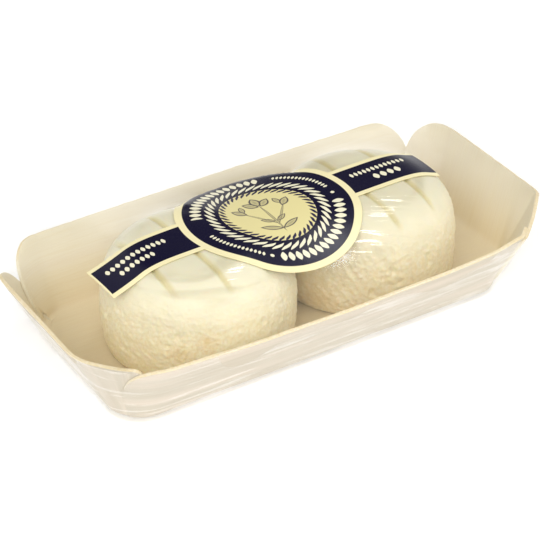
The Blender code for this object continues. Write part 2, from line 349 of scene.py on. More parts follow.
def model_flap(walls, number):
    """One wall of the pressed sheet, from a flat grid that is folded up and tucked in at its far end."""
    start_lap, end_lap = LAPS[number], LAPS[(number + 1) % 4]
    far_corner = walls.corners[(number + 1) % 4] + (walls.girth if number == 3 else 0.0)
    start = walls.corners[number] + start_lap[0]
    joined = far_corner + end_lap[0]
    end = far_corner + end_lap[1]
    places = flap_columns(start, joined, end)
    rows = CREASE_ROWS + WALL_ROWS
    bpy.ops.mesh.primitive_grid_add(x_subdivisions=len(places) - 1, y_subdivisions=rows, size=1.0)
    flap = bpy.context.object
    middle = (start + joined) / 2.0
    long_side = number % 2 == 0
    crease = CREASE_ROWS / rows
    seed = Vector((11.0 * number, 3.0, 7.0))
    spots = []
    for vertex in flap.data.vertices:
        along = places[round((vertex.co.x + 0.5) * (len(places) - 1))]
        share = vertex.co.y + 0.5
        drop = tip_drop(along - start, start_lap[2]) + tip_drop(end - along, end_lap[3])
        top = 1.0 - drop / walls.height
        top += walls.sizes.fray / walls.height * noise.noise(Vector((along / (3.0 * MM), 0.0, 5.0)) + seed)
        free = along > joined + WELD
        if free:
            height = crease + (top - crease) * share
        else:
            height = min(share, crease) + (top - crease) * max(0.0, share - crease) / (1.0 - crease)
        place, normal = walls.point(along, height)
        wave = walls.sizes.wave * noise.noise(Vector((along / (22.0 * MM), height * 1.3, 2.0)) + seed)
        inward = min(1.0, max(0.0, 1.0 - (joined - 2.0 * MM - along) / TUCK_RUN))
        inward = TUCK * walls.sizes.veneer * inward * inward * (3.0 - 2.0 * inward)
        if free:
            inward *= min(1.0, 0.4 + (height - crease) / TUCK_RISE)
        grip = min(1.0, height / crease) ** 2
        vertex.co = place + normal * (wave - inward) * grip
        up_wall = height * walls.height * 1.15
        run = along - middle
        if long_side:
            spots.append((run * (1 if number else -1), (FLOOR_HALF_WIDTH + up_wall) * (-1 if number else 1)))
        else:
            spots.append(((FLOOR_HALF_LENGTH + up_wall) * (-1 if number == 1 else 1), run))
    sheet = flap.data.uv_layers[0].data
    for loop in flap.data.loops:
        sheet[loop.index].uv = spots[loop.vertex_index]
    return flap


def model_tray(sizes):
    """Four flaps folded up from one floor, thickened to the veneer's real thickness."""
    walls = Walls(sizes)
    flaps = [model_flap(walls, number) for number in range(4)]
    deselect()
    for flap in flaps:
        flap.select_set(True)
    bpy.context.view_layer.objects.active = flaps[0]
    bpy.ops.object.join()
    tray = bpy.context.object
    bpy.ops.object.mode_set(mode="EDIT")
    bpy.ops.mesh.select_all(action="SELECT")
    bpy.ops.mesh.remove_doubles(threshold=WELD)
    bpy.ops.mesh.select_all(action="DESELECT")
    bpy.ops.object.mode_set(mode="OBJECT")
    for edge in tray.data.edges:
        edge.select = all(tray.data.vertices[v].co.z < walls.low + WELD for v in edge.vertices)
    for vertex in tray.data.vertices:
        vertex.select = vertex.co.z < walls.low + WELD
    bpy.ops.object.mode_set(mode="EDIT")
    bpy.ops.mesh.select_mode(type="EDGE")
    bpy.ops.mesh.edge_face_add()
    bpy.ops.mesh.select_all(action="SELECT")
    bpy.ops.mesh.normals_make_consistent(inside=False)
    bpy.ops.object.mode_set(mode="OBJECT")
    floor = max(tray.data.polygons, key=lambda face: face.area)
    if floor.normal.z > 0.0:
        tray.data.flip_normals()
    sheet = tray.data.uv_layers[0].data
    for loop in floor.loop_indices:
        spot = tray.data.vertices[tray.data.loops[loop].vertex_index].co
        sheet[loop].uv = (spot.x, spot.y)
    tray.data.materials.append(veneer_material(sizes))
    tray.data.materials.append(cut_edge_material(sizes))
    modify(tray, "SOLIDIFY", thickness=sizes.veneer, offset=-1.0, use_even_offset=True, material_offset_rim=1)
    for face in sorted(tray.data.polygons, key=lambda face: face.area)[-2:]:
        if face.normal.z > 0.0:
            for vertex in face.vertices:
                tray.data.vertices[vertex].co.z = walls.low + sizes.veneer
    modify(tray, "BEVEL", width=WORN_EDGE, segments=2, limit_method="ANGLE", angle_limit=math.radians(50.0))
    bpy.ops.object.shade_smooth_by_angle(angle=math.radians(40.0))
    return finished(tray, "veneer_tray", "tray", "tray")


def veneer_material(sizes):
    """Rotary-peeled poplar, bare and matt: long pale fibres, faint pink bands and a few tan streaks, with
    painted shade: darker colours on the outside faces and a yellower tint low inside.
    """
    mat, tree = new_material("bare peeled poplar veneer")
    sheet = add(tree, "UVMap", uv_map="UVMap")
    noises = []
    for (run, across), detail, rough in ((FIBRE, 3.0, 0.6), (BAND, 2.0, 0.5)):
        drawn = add(tree, "Mapping", {"Vector": sheet, "Scale": (1 / run, 1 / across, 1.0)})
        noises.append(add(tree, "TexNoise", {
            "Vector": drawn, "Scale": 1.0, "Detail": detail, "Roughness": rough}))
    fibre, band = noises
    # Painted shade: faces that point down, the outside, get a darker and greyer copy of the wood's colours
    # than the inside
    facing = add(tree, "SeparateXYZ", (add(tree, "NewGeometry", out="Normal"),), out=2)
    inner = add(tree, "MapRange", (facing, -0.15, 0.15))
    outside = add(tree, "ValToRGB", (fibre,), ((0.30, sizes.shaded_outside_streak_code), (0.62, sizes.shaded_outside_code)))
    inside = add(tree, "ValToRGB", (fibre,), ((0.30, sizes.inner_streak_code), (0.60, sizes.inner_code)))
    tint = add(tree, "Mix", {0: inner, 6: outside, 7: inside}, **TWO_COLOURS)
    pink = add(tree, "MapRange", (band, 0.45, 0.68, 0.0, 0.55))
    pink = add(tree, "Math MULTIPLY", (pink, add(tree, "MapRange", (inner, 0.0, 1.0, 1.0, 0.3))))
    tint = add(tree, "Mix", {0: pink, 6: tint, 7: colour(sizes.pink_code)}, **TWO_COLOURS)
    height = add(tree, "SeparateXYZ", (add(tree, "TexCoord", out="Object"),), out=2)
    # Painted shade: the inside is tinted darker and yellower towards the floor, with a wavy edge from the
    # bands
    shade_height = add(tree, "Math ADD", (height, add(tree, "Math MULTIPLY", (band, SHADE_DRIFT))))
    shade_share = add(tree, "MapRange", (shade_height, *SHADED_HEIGHTS), interpolation_type="SMOOTHSTEP")
    shade_share = add(tree, "Math MULTIPLY", (shade_share, inner))
    shade_tint = colour(sizes.painted_shade_code)
    tint = add(tree, "Mix", {0: shade_share, 6: tint, 7: shade_tint}, blend_type="MULTIPLY", **TWO_COLOURS)
    relief = add(tree, "Bump", {"Height": fibre, "Strength": 0.25, "Distance": 0.1 * MM})
    shader = add(tree, "BsdfPrincipled", {
        "Base Color": tint, "Roughness": 0.72, "IOR": 1.45, "Specular IOR Level": 0.3, "Normal": relief})
    add(tree, "OutputMaterial", (shader,))
    return mat


def cut_edge_material(sizes):
    """Knife-cut edge of the veneer: short fibres, warmer at the rim than in the tips low down."""
    mat, tree = new_material("cut edge of poplar veneer")
    place = add(tree, "TexCoord", out="Object")
    grain = add(tree, "TexNoise", {"Vector": place, "Scale": 1 / (0.8 * MM), "Detail": 2.0})
    tint = add(tree, "ValToRGB", (grain,), ((0.35, "#e6d3a8"), (0.65, sizes.edge_code)))
    height = add(tree, "SeparateXYZ", (place,), out=2)
    near_rim = add(tree, "MapRange", (height, 17.0 * MM, 21.0 * MM))
    tint = add(tree, "Mix", {0: near_rim, 6: colour(sizes.inner_code), 7: tint}, **TWO_COLOURS)
    relief = add(tree, "Bump", {"Height": grain, "Strength": 0.4, "Distance": 0.1 * MM})
    shader = add(tree, "BsdfPrincipled", {
        "Base Color": tint, "Roughness": 0.65, "IOR": 1.45, "Normal": relief})
    add(tree, "OutputMaterial", (shader,))
    return mat


# Cheeses

def dome(ratio):
    """Height of the crown over the foot at a share of the radius, as a share of the whole height."""
    return WAIST + (1.0 - WAIST) * np.maximum(0.0, 1.0 - np.abs(ratio) ** 5) ** 0.4


def cheese_section():
    """Half section from the crown to the middle of the foot, as shares of the radius and of the height."""
    turn = np.radians(np.linspace(0.0, 90.0, 60))
    top = np.sin(turn) ** 0.4
    down = np.sin(turn[1:])
    side = FOOT + (1.0 - FOOT) * np.sqrt(np.maximum(0.0, 1.0 - down ** 3))
    across = np.concatenate((top, side, (0.0,)))
    height = np.concatenate((dome(top), WAIST * (1.0 - down), (0.0,)))
    return across, height


def relief_left(spot, around):
    """Soft lumps, grains and a few pits of curd, in millimetres. The direction makes no difference here."""
    lumps = noise.noise(spot / (6.0 * MM))
    grains = noise.noise(spot / (2.1 * MM))
    fine = noise.noise(spot / (0.95 * MM))
    pits = max(0.0, noise.noise(spot / (3.1 * MM) + Vector((5.0, 9.0, 1.0))) - 0.34)
    return 0.22 * lumps + 0.16 * grains + 0.26 * fine - 1.4 * pits


def relief_right(spot, around):
    """Like the left one, but drawn into slanting folds where the mould pressed it."""
    slant = Vector((around * 28.0 * MM + spot.z * 0.75, spot.z * 0.45 - around * 6.0 * MM, 0.0))
    folds = noise.noise(Vector((slant.x / (1.9 * MM), slant.y / (5.0 * MM), 4.0)))
    coarse = min(1.0, max(0.0, 1.15 - abs(around + 2.25) / 0.75))
    plain = relief_left(spot, around)
    return (1.0 - coarse) * plain + coarse * (0.40 * folds + 1.35 * plain)


def model_cheese(name, low, high, foot, relief, slump, mat):
    """Turned curd: a ball from a cube, pressed to the mould's section and then roughened."""
    deselect()
    bpy.ops.mesh.primitive_cube_add(size=2.0)
    cheese = bpy.context.object
    bpy.ops.object.mode_set(mode="EDIT")
    bpy.ops.mesh.select_all(action="SELECT")
    bpy.ops.mesh.subdivide(number_cuts=104)
    bpy.ops.object.mode_set(mode="OBJECT")
    ball = read_points(cheese)
    ball /= np.linalg.norm(ball, axis=1)[:, None]

    radius = (high.x - low.x) / 2.0
    tall = high.z - foot
    across, height = cheese_section()
    run = np.concatenate(((0.0,), np.cumsum(np.hypot(np.diff(across) * radius, np.diff(height) * tall))))
    share = np.arccos(np.clip(ball[:, 2], -1.0, 1.0)) / math.pi * run[-1]
    wide = np.interp(share, run, across) * radius
    level = np.interp(share, run, height)
    turn = np.arctan2(ball[:, 1], ball[:, 0])
    pressed = np.column_stack((wide * np.cos(turn), wide * np.sin(turn), level * tall))
    pressed[:, 2] -= groove_depth(pressed, radius)
    write_points(cheese, pressed)

    normals = np.empty(len(pressed) * 3)
    cheese.data.vertices.foreach_get("normal", normals)
    normals = normals.reshape(-1, 3)
    bare = np.clip((0.88 - level) / 0.24, 0.0, 1.0) * np.where(level < 0.02, 0.0, 1.0)
    for index, amount in enumerate(bare):
        spot = Vector(pressed[index])
        move = 0.05 * noise.noise(spot / (4.0 * MM))
        if amount > 0.0:
            move += amount * (relief(spot, turn[index]) - 0.28)
        around = Vector((math.cos(turn[index]), math.sin(turn[index]), 3.0))
        move += slump * level_band(level[index]) * noise.noise(around * 1.3)
        pressed[index] += normals[index] * move * MM
    cosine, sine = math.cos(CHEESE_TURN), math.sin(CHEESE_TURN)
    centre = ((low.x + high.x) / 2.0, (low.y + high.y) / 2.0)
    placed = np.column_stack((centre[0] + pressed[:, 0] * cosine - pressed[:, 1] * sine,
                              centre[1] + pressed[:, 0] * sine + pressed[:, 1] * cosine,
                              foot + np.maximum(pressed[:, 2], 0.0)))
    write_points(cheese, placed)
    cheese.data.materials.append(mat)
    bpy.ops.object.shade_smooth()
    return finished(cheese, name + "_curd", "cheese", name)


def level_band(level):
    """1 at half height, fading to the crown and the foot."""
    return max(0.0, 1.0 - ((level - 0.45) / 0.5) ** 2)


def groove_depth(points, radius):
    """Round-bottomed press marks along Y that run out at the shoulder."""
    depth = np.zeros(len(points))
    for offset in GROOVES:
        near = np.exp(-((points[:, 0] - offset) / (0.85 * MM)) ** 2)
        reach = np.hypot(offset, points[:, 1]) / radius
        fade = np.clip((0.86 - reach) / 0.10, 0.0, 1.0)
        depth += 0.75 * MM * near * fade
    return np.where(points[:, 2] > 10.0 * MM, depth, 0.0)


def curd_material(name, sizes, centre, foot, tall, wheys, tone):
    """Fresh lactic curd, dense and slightly translucent, the foot a little yellower. Its colours hold painted
    light and shade: side and foot lighter and crown darker than the curd, and tan shade in the grain's
    hollows and press marks.
    """
    mat, tree = new_material(name)
    place = add(tree, "TexCoord", out="Object")
    own = add(tree, "Mapping", {"Vector": place, "Location": (-centre[0], -centre[1], -foot)})
    across, along, up = [add(tree, "SeparateXYZ", (own,), out=axis) for axis in range(3)]
    height = add(tree, "MapRange", (up, 0.0, tall))
    mottle = add(tree, "TexNoise", {"Vector": own, "Scale": 1 / MOTTLE, "Detail": 3.0, "Roughness": 0.55})
    grain = add(tree, "TexNoise", {"Vector": own, "Scale": 1 / GRAIN, "Detail": 3.0, "Roughness": 0.6})
    drift = add(tree, "Math MULTIPLY", (add(tree, "Math SUBTRACT", (mottle, 0.5)), 0.35))
    # Painted light and shade: the side and foot are painted lighter and the crown darker, to even out how the
    # light falls on them
    tint = add(tree, "ValToRGB", (add(tree, "Math ADD", (height, drift)),),
               ((0.05, sizes.foot_lit_code), (0.92, sizes.crown_shaded_code), (0.55, sizes.side_lit_code)))
    # Painted shade: tan in the grain's hollows, where the bump is low, more on the side than on the crown
    shade_share = add(tree, "MapRange", (grain, 0.36, 0.60, 0.55, 0.0))
    shade_share = add(tree, "Math MULTIPLY", (shade_share, add(tree, "MapRange", (height, 0.88, 0.5))))
    tint = add(tree, "Mix", {0: shade_share, 6: tint, 7: colour(sizes.painted_shade_code)}, **TWO_COLOURS)
    ragged = add(tree, "Math MULTIPLY", (add(tree, "Math SUBTRACT", (grain, 0.5)), WHEY_RAGGED))
    for spot, size in wheys:
        away = add(tree, "VectorMath DISTANCE", (own, spot), out="Value")
        stain = add(tree, "MapRange", (add(tree, "Math ADD", (away, ragged)), size, 0.0, 0.0, 0.32))
        tint = add(tree, "Mix", {0: stain, 6: tint, 7: colour(sizes.whey_code)}, **TWO_COLOURS)
    turned = add(tree, "Math ADD", (across, add(tree, "Math MULTIPLY", (along, math.tan(CHEESE_TURN)))))
    flat = add(tree, "VectorMath MULTIPLY", (own, (1.0, 1.0, 0.0)))
    fade = add(tree, "MapRange", (add(tree, "VectorMath LENGTH", (flat,), out="Value"), *MARK_ENDS))
    on_top = add(tree, "MapRange", (height, 0.78, 0.86))
    # Painted shade: the press marks are tinted tan
    for offset in GROOVES:
        away = add(tree, "Math ABSOLUTE", (add(tree, "Math SUBTRACT", (turned, offset)),))
        mark = add(tree, "MapRange", (away, *MARK_EDGES, 0.0, 0.7))
        mark = add(tree, "Math MULTIPLY", (add(tree, "Math MULTIPLY", (mark, fade)), on_top))
        tint = add(tree, "Mix", {0: mark, 6: tint, 7: colour(sizes.groove_shade_code)}, **TWO_COLOURS)
    # The whole cheese is multiplied by one tone; the right one comes out a little darker
    tint = add(tree, "Mix", {0: 1.0, 6: tint, 7: colour(tone)}, blend_type="MULTIPLY", **TWO_COLOURS)
    rough = add(tree, "MapRange", (height, 0.95, 0.75, 0.15, 1.0))
    rough = add(tree, "Math MULTIPLY", (grain, rough))
    relief = add(tree, "Bump", {"Height": rough, "Strength": 0.5, "Distance": 0.4 * MM})
    shader = add(tree, "BsdfPrincipled", {
        "Base Color": tint, "Roughness": 0.5, "IOR": 1.42, "Specular IOR Level": 0.4, "Normal": relief,
        "Subsurface Weight": 0.3, "Subsurface Radius": (1.0, 0.7, 0.35), "Subsurface Scale": 1.4 * MM})
    add(tree, "OutputMaterial", (shader,))
    return mat


# Film

class Membrane:
    """Film pulled tight over rim, crowns and under the label: heights found by relaxing a grid."""

    def __init__(self, walls, sizes):
        drops = np.array([walls.rim_drop(along) for along in walls.along[:-1]])
        eased = np.convolve(np.concatenate((drops[-4:], drops, drops[:4])), np.full(9, 1 / 9), "valid")
        turns = np.arctan2(walls.rim[:-1, 1], walls.rim[:-1, 0])
        order = np.argsort(turns)
        self.turns = turns[order]
        self.reaches = (np.hypot(walls.rim[:-1, 0], walls.rim[:-1, 1]) + FILM_OFF)[order]
        self.levels = (TRAY_HIGH.z + FILM_OFF - np.minimum(drops, eased))[order]
        half_x, half_y = sizes.length / 2.0 + 2.0 * MM, sizes.width / 2.0 + 2.0 * MM
        self.xs = np.arange(-half_x, half_x + FILM_GRID, FILM_GRID)
        self.ys = np.arange(-half_y, half_y + FILM_GRID, FILM_GRID)
        x, y = np.meshgrid(self.xs, self.ys, indexing="ij")
        turn = np.arctan2(y, x)
        inside = np.hypot(x, y) < np.interp(turn, self.turns, self.reaches, period=2.0 * math.pi)
        edge = self.level(turn)
        floor = np.zeros(x.shape)
        for low, high in ((LEFT_LOW, LEFT_HIGH), (RIGHT_LOW, RIGHT_HIGH)):
            radius = (high.x - low.x) / 2.0
            away = np.hypot(x - (low.x + high.x) / 2.0, y - (low.y + high.y) / 2.0) / radius
            crown = low.z + dome(np.minimum(away, 1.0)) * (high.z - low.z) + 0.15 * MM
            floor = np.maximum(floor, np.where(away < 1.0, crown, 0.0))
        across, away = x - LABEL_CENTRE.x, np.hypot(x - LABEL_CENTRE.x, y - LABEL_CENTRE.y)
        arc = ARC_HEIGHT + np.where(across < 0.0, *ARC_RISE) * (across / ARC_SPAN) ** 2
        pressed = np.maximum(floor, arc - ARC_FALL * np.maximum(0.0, away - ARC_REACH))
        stiff = (away > ARC_REACH - ARC_INSIDE) & (away < ARC_REACH + ARC_OUTSIDE)
        stiff &= y - LABEL_CENTRE.y > ARC_START * away
        heights = np.where(inside, np.maximum(floor, edge), edge)
        for _ in range(FILM_ROUNDS):
            mean = heights.copy()
            beside = heights[2:, 1:-1] + heights[:-2, 1:-1] + heights[1:-1, 2:] + heights[1:-1, :-2]
            mean[1:-1, 1:-1] = 0.25 * beside
            heights = np.where(inside, np.maximum(mean, floor), edge)
            heights = np.where(stiff, pressed, heights)
        self.heights = heights

    def level(self, turn):
        """Height of the film's edge over the rim, in a direction from the middle."""
        return np.interp(turn, self.turns, self.levels, period=2.0 * math.pi)

    def height(self, x, y):
        """Height of the film over places in the plan."""
        across = np.clip((np.asarray(x) - self.xs[0]) / FILM_GRID, 0.0, len(self.xs) - 1.001)
        along = np.clip((np.asarray(y) - self.ys[0]) / FILM_GRID, 0.0, len(self.ys) - 1.001)
        column, row = across.astype(int), along.astype(int)
        right, up = across - column, along - row
        grid = self.heights
        near = grid[column, row] * (1 - right) + grid[column + 1, row] * right
        far = grid[column, row + 1] * (1 - right) + grid[column + 1, row + 1] * right
        return near * (1 - up) + far * up


# Where the film is creased over the front shoulders: place, reach and direction
CREASES = (
    (Vector((RIGHT_LOW.x + 25.0 * MM, RIGHT_LOW.y + 8.0 * MM, 29.0 * MM)), 20.0 * MM, math.radians(-31)),
    (Vector((LEFT_HIGH.x - 28.0 * MM, LEFT_LOW.y + 4.0 * MM, 25.0 * MM)), 14.0 * MM, math.radians(-11)),
)
# Sizes of one crease, of the streaks on the walls and of the slack elsewhere
CREASE = (30.0 * MM, 1.9 * MM, 1.9 * MM)
VEIL = (26.0 * MM, 26.0 * MM, 2.2 * MM)
SLACK = 11.0 * MM
# Shares of the ball from its top pole that become the film's top, and its top and wall
TOP_SHARE = 0.62
WALL_SHARE = 0.84


def model_film(membrane, walls):
    """One closed skin: a ball whose rings become the top, the wall and the underside."""
    deselect()
    bpy.ops.mesh.primitive_uv_sphere_add(segments=FILM_SEGMENTS, ring_count=FILM_RINGS, radius=1.0)
    film = bpy.context.object
    ball = read_points(film)
    turn = np.arctan2(ball[:, 1], ball[:, 0])
    share = np.arccos(np.clip(ball[:, 2], -1.0, 1.0)) / math.pi
    rim = walls.outline(turn, walls.rim, FILM_OFF)
    base = walls.outline(turn, walls.floor, FILM_OFF)
    on_top = np.clip(share / TOP_SHARE, 0.0, 1.0)[:, None]
    on_wall = np.clip((share - TOP_SHARE) / (WALL_SHARE - TOP_SHARE), 0.0, 1.0)[:, None]
    below = np.clip((share - WALL_SHARE) / (1.0 - WALL_SHARE), 0.0, 1.0)[:, None]
    plan = rim * on_top + (base - rim) * on_wall - base * below
    low = cad_bounds[0].z + 0.1 * MM
    level = membrane.level(turn)
    side = level + (low - level) * on_wall[:, 0]
    z = np.where(share < TOP_SHARE - 0.002, membrane.height(plan[:, 0], plan[:, 1]), side)
    write_points(film, np.column_stack((plan, z)))
    film.data.materials.append(film_material())
    bpy.ops.object.shade_smooth_by_angle(angle=math.radians(35.0))
    return finished(film, "shrink_film", "film", "film")


def film_material():
    """Clear polyolefin shrink film: it only shows as gloss, so light passes except where it reflects."""
    mat, tree = new_material("clear glossy shrink film")
    place = add(tree, "TexCoord", out="Object")
    height = 0.0
    for spot, reach, turn in CREASES:
        turned = add(tree, "Mapping", {"Vector": place, "Rotation": (0.0, 0.0, -turn)})
        drawn = add(tree, "Mapping", {"Vector": turned, "Scale": [1 / size for size in CREASE]})
        lines = add(tree, "TexNoise", {"Vector": drawn, "Scale": 1.0, "Detail": 1.0, "Distortion": 0.3})
        away = add(tree, "VectorMath DISTANCE", (place, spot), out="Value")
        near = add(tree, "MapRange", (away, reach, 0.45 * reach), interpolation_type="SMOOTHSTEP")
        lines = add(tree, "Math MULTIPLY", (add(tree, "Math MULTIPLY", (lines, 5.0)), near))
        height = add(tree, "Math ADD", (height, lines))
    slack = add(tree, "TexNoise", {"Vector": place, "Scale": 1 / SLACK, "Detail": 1.0})
    height = add(tree, "Math ADD", (height, add(tree, "Math MULTIPLY", (slack, 1.4))))
    relief = add(tree, "Bump", {"Height": height, "Strength": 0.5, "Distance": 0.16 * MM})
    gloss = add(tree, "BsdfAnisotropic", {"Color": colour("#ffffff"), "Roughness": 0.12, "Normal": relief})
    clear = add(tree, "BsdfTransparent", {"Color": colour("#fefefd")})
    slant = add(tree, "LayerWeight", {"Blend": 0.5, "Normal": relief}, out="Facing")
    steep = add(tree, "Math MULTIPLY", (add(tree, "Math POWER", (slant, 4.5)), 0.6))
    drawn = add(tree, "Mapping", {"Vector": place, "Scale": [1 / size for size in VEIL]})
    veil = add(tree, "TexNoise", {"Vector": drawn, "Scale": 1.0, "Detail": 3.0, "Distortion": 0.8})
    veil = add(tree, "MapRange", (veil, 0.50, 0.66, 0.0, 0.26), interpolation_type="SMOOTHSTEP")
    level = add(tree, "SeparateXYZ", (add(tree, "NewGeometry", out="Normal"),), out=2)
    wall = add(tree, "MapRange", (level, -0.1, -0.3))
    steep = add(tree, "Math ADD", (steep, add(tree, "Math MULTIPLY", (veil, wall))))
    steep = add(tree, "Math ADD", (steep, 0.06))
    add(tree, "OutputMaterial", (add(tree, "MixShader", (steep, clear, gloss)),))
    return mat


# Label

def model_label(membrane, sizes):
    """Sheet cut to a round middle and a straight band, then laid down on the film."""
    deselect()
    spare = 10.0 * MM
    blank = (sizes.length + spare, 2.0 * sizes.radius + spare, sizes.paper)
    bpy.ops.mesh.primitive_cube_add(size=1.0, scale=blank)
    label = bpy.context.object
    bpy.ops.object.transform_apply(location=False, rotation=False, scale=True)
    bpy.ops.object.mode_set(mode="EDIT")
    bpy.ops.mesh.select_all(action="SELECT")
    for axis, reach in (((1, 0, 0), sizes.length / 2.0), ((0, 1, 0), sizes.radius)):
        steps = int(reach / sizes.cell)
        for step in range(-steps, steps + 1):
            bpy.ops.mesh.select_all(action="SELECT")
            bpy.ops.mesh.bisect(plane_co=Vector(axis) * step * sizes.cell, plane_no=axis)
    bpy.ops.object.mode_set(mode="OBJECT")
    bpy.ops.mesh.primitive_cylinder_add(vertices=160, radius=sizes.radius, depth=0.02)
    die = bpy.context.object
    bpy.ops.mesh.primitive_cube_add(size=1.0, scale=(sizes.length, sizes.band, 0.018))
    band = bpy.context.object
    for thing, operation, cutter in ((die, "UNION", band), (label, "INTERSECT", die)):
        modify(thing, "BOOLEAN", operation=operation, object=cutter)
        bpy.data.objects.remove(cutter, do_unlink=True)
    flat = read_points(label)
    cosine, sine = math.cos(LABEL_TURN), math.sin(LABEL_TURN)
    x = LABEL_CENTRE.x + flat[:, 0] * cosine - flat[:, 1] * sine
    y = LABEL_CENTRE.y + flat[:, 0] * sine + flat[:, 1] * cosine
    z = membrane.height(x, y) + sizes.paper + 0.1 * MM + flat[:, 2]
    write_points(label, np.column_stack((x, y, z)))
    label.data.materials.append(label_material(sizes))
    bpy.ops.object.select_all(action="DESELECT")
    label.select_set(True)
    bpy.context.view_layer.objects.active = label
    bpy.ops.object.shade_smooth_by_angle(angle=math.radians(40.0))
    return finished(label, "paper_label", "label", "label")


class Print:
    """Printed figures as masks from 0 to 1 over the label's own plane, all sizes in millimetres."""

    def __init__(self, tree):
        self.tree = tree
        place = add(tree, "TexCoord", out="Object")
        moved = add(tree, "VectorMath SUBTRACT", (place, LABEL_CENTRE))
        self.flat = add(tree, "Mapping", {
            "Vector": moved, "Rotation": (0.0, 0.0, -LABEL_TURN), "Scale": (1 / MM, 1 / MM, 0.0)})
        self.u, self.v = [add(tree, "SeparateXYZ", (self.flat,), out=axis) for axis in (0, 1)]
        self.radius = add(tree, "VectorMath LENGTH", (self.flat,), out="Value")
        self.turn = add(tree, "Math ARCTAN2", (self.v, self.u))

    def edge(self, value, limit):
        """1 where value is under limit, with an edge as soft as ink on paper."""
        return add(self.tree, "MapRange", (value, limit + 0.05, limit - 0.05))

    def join(self, operation, *masks):
        """Masks joined by MULTIPLY, for where all of them cover, or by MAXIMUM, for where any does."""
        whole = masks[0]
        for mask in masks[1:]:
            whole = add(self.tree, "Math " + operation, (whole, mask))
        return whole

    def steps(self, value, *steps):
        """Value taken through operations in turn, each with its second number."""
        for operation, number in steps:
            value = add(self.tree, "Math " + operation, (value, number))
        return value

    def between(self, value, low, high):
        away = self.steps(value, ("SUBTRACT", (low + high) / 2.0), ("ABSOLUTE", 0.0))
        return self.edge(away, (high - low) / 2.0)

    def inverse(self, mask):
        return add(self.tree, "Math SUBTRACT", (1.0, mask))

    def row(self, along, across, start, end, pitch, middle, half_long, half_wide, power):
        """Row of lozenges, rounder at a higher power, from start to end along one axis."""
        local = self.steps(along, ("SUBTRACT", start), ("DIVIDE", pitch), ("FRACT", 0.0), ("SUBTRACT", 0.5),
                           ("ABSOLUTE", 0.0), ("MULTIPLY", pitch), ("DIVIDE", half_long), ("POWER", power))
        side = self.steps(across, ("SUBTRACT", middle), ("DIVIDE", half_wide), ("ABSOLUTE", 0.0),
                          ("POWER", power))
        shape = add(self.tree, "MapRange", (add(self.tree, "Math ADD", (local, side)), 1.06, 0.94))
        return self.join("MULTIPLY", shape, self.between(along, start, end))

    def dot(self, centre, radius):
        away = add(self.tree, "VectorMath DISTANCE", (self.flat, (*centre, 0.0)), out="Value")
        return self.edge(away, radius)

    def petal(self, centre, turn, half_long, half_wide):
        """One oval leaf at a place, turned by an angle."""
        tree = self.tree
        moved = add(tree, "VectorMath SUBTRACT", (self.flat, (*centre, 0.0)))
        turned = add(tree, "Mapping", {"Vector": moved, "Rotation": (0.0, 0.0, -turn)})
        along, across = [add(tree, "SeparateXYZ", (turned,), out=axis) for axis in (0, 1)]
        along = self.steps(along, ("DIVIDE", half_long), ("ABSOLUTE", 0.0), ("POWER", 2.0))
        across = self.steps(across, ("DIVIDE", half_wide), ("ABSOLUTE", 0.0))
        total = add(tree, "Math ADD", (along, across))
        line = self.steps(total, ("SUBTRACT", 0.85), ("ABSOLUTE", 0.0))
        line = add(tree, "MapRange", (line, 0.3, 0.1))
        return self.join("MAXIMUM", line, add(tree, "MapRange", (total, 1.0, 0.0, 0.0, 0.55)))


# Label's print in millimetres from its middle. Rows of lozenges have a start, an end, a pitch, a middle
# line, half a length, half a width and a power, and those round the ring start and end at degrees.
RING = 21.4
RING_ROWS = (
    (-113, -14, 2.3, 21.0, 0.95, 1.75, 1.5),
    (66, 162, 2.3, 21.0, 0.95, 1.75, 1.5),
    (4, 56, 1.2, 21.3, 0.42, 0.75, 1.6),
    (-172, -124, 1.2, 21.3, 0.42, 0.75, 1.6),
)
BAND_ROWS = (
    (-52.6, -32.8, 1.65, 2.2, 0.62, 1.15, 1.5),
    (-50.0, -38.4, 1.65, -1.6, 0.62, 1.15, 1.5),
    (30.0, 49.5, 1.5, 2.4, 0.55, 1.05, 1.5),
    (35.6, 45.6, 2.5, -1.7, 0.95, 1.45, 1.5),
)
BEAD_REACH = 21.2
BEAD_TURNS = (-119, -5)
# Slanting leaves round the disc: reach of a whole turn, and the row's middle, half length and half width
LEAVES = 42
LIGHT_LEAVES = (16.9, 16.9, 0.92, 1.55)
DARK_LEAVES = (13.1, 13.3, 0.66, 1.2)
# Sprig of clover, of which leaves off the middle are mirrored: place, direction in degrees and half sizes
SPRIG = (
    (0.0, -2.6, 90, 7.6, 0.4), (3.4, -1.9, 52, 5.6, 0.34), (0.0, 7.3, 90, 2.6, 1.6), (2.3, 6.0, 40, 2.5, 1.4),
    (7.6, 3.4, 45, 2.4, 1.3), (5.9, 4.9, 100, 1.9, 0.9), (3.1, -7.4, 22, 3.4, 1.0), (2.2, -3.7, 30, 2.2, 0.8),
)


